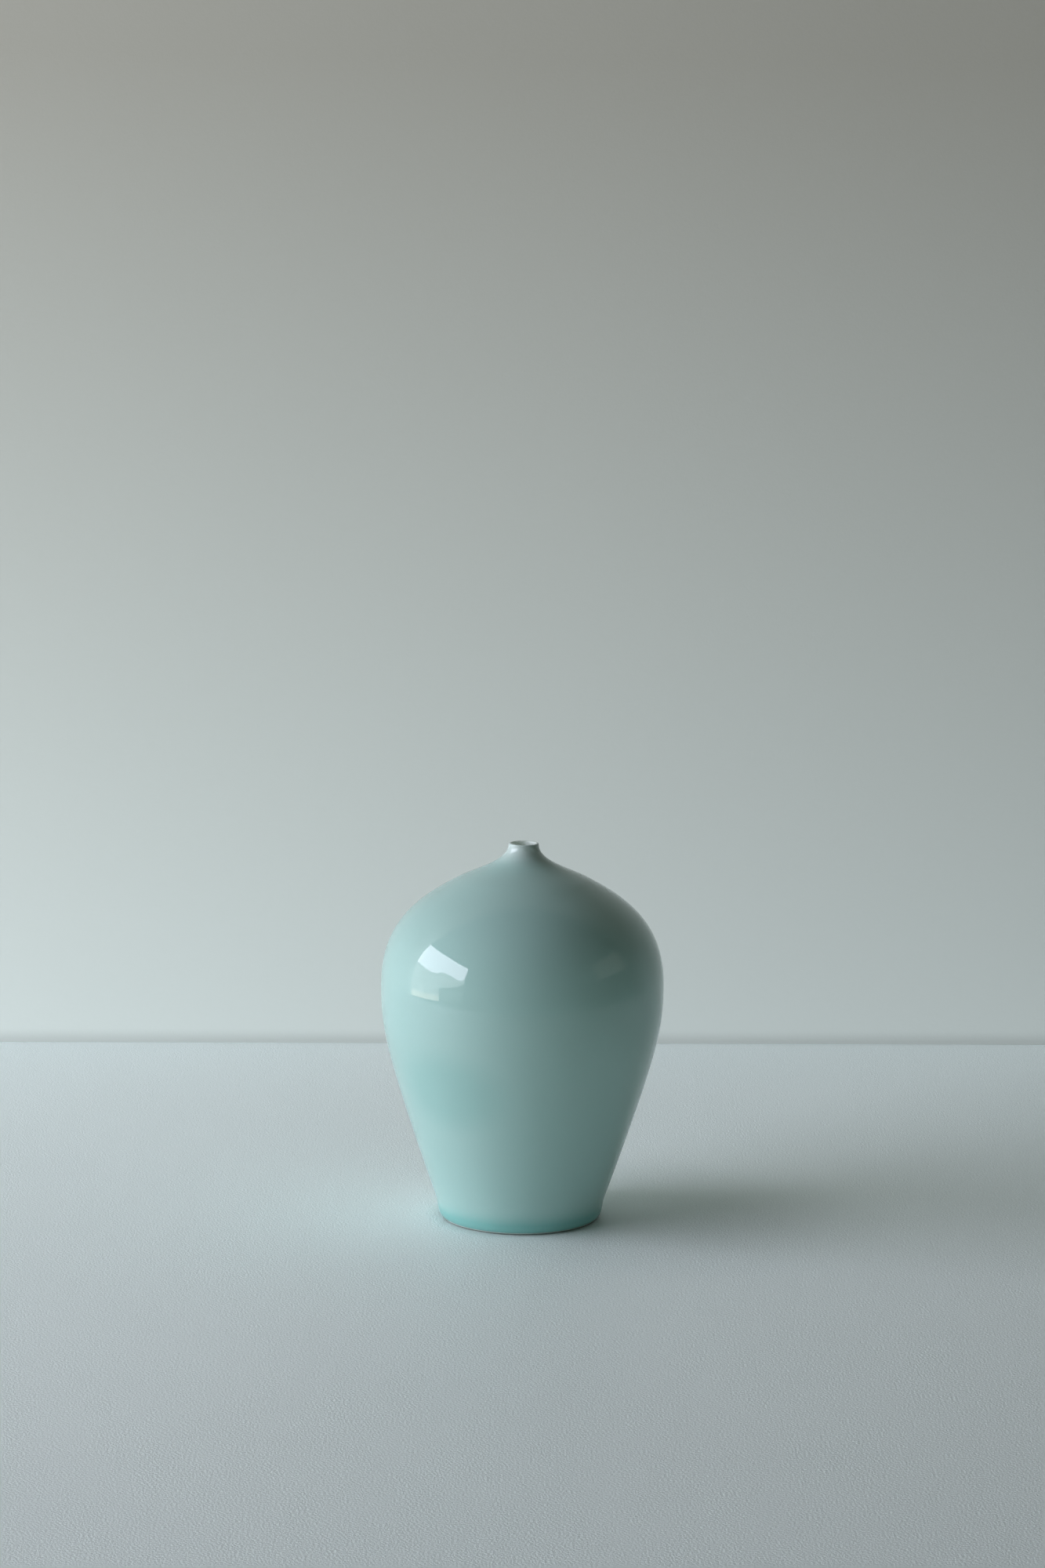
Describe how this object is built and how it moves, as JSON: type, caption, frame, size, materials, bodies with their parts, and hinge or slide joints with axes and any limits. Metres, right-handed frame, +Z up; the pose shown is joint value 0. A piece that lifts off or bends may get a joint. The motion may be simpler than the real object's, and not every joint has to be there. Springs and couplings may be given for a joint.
{
  "type": "porcelain vase",
  "caption": "Broad-shouldered porcelain bottle vase with a narrow upright mouth, a tapering body and a low foot ring, glazed pale blue-green.",
  "frame": {"origin": "centre of the foot ring on the surface that it stands on", "axes": "+Z up along the axis on which the vase was thrown; X and Y are interchangeable"},
  "size_m": [0.12, 0.12, 0.1612],
  "materials": {
    "bare_porcelain": "unglazed, matt, fine-grained",
    "luting_slip": "dried slip, matt, slightly rough",
    "celadon_glaze": "high-gloss pale blue-green glaze, white at the lip, deeper in the foot band",
    "inner_glaze": "thin gloss glaze over throwing rings",
    "base_glaze": "thin gloss glaze in the foot recess"
  },
  "bodies": {
    "root": {"foot_ring": "bare_porcelain", "foot_seam_slip": "luting_slip", "lower_body": "bare_porcelain", "belly_seam_slip": "luting_slip", "shoulder": "bare_porcelain", "neck_seam_slip": "luting_slip", "neck": "bare_porcelain", "outer_glaze": "celadon_glaze", "inner_glaze": "inner_glaze", "base_glaze": "base_glaze"}
  },
  "joints": []
}
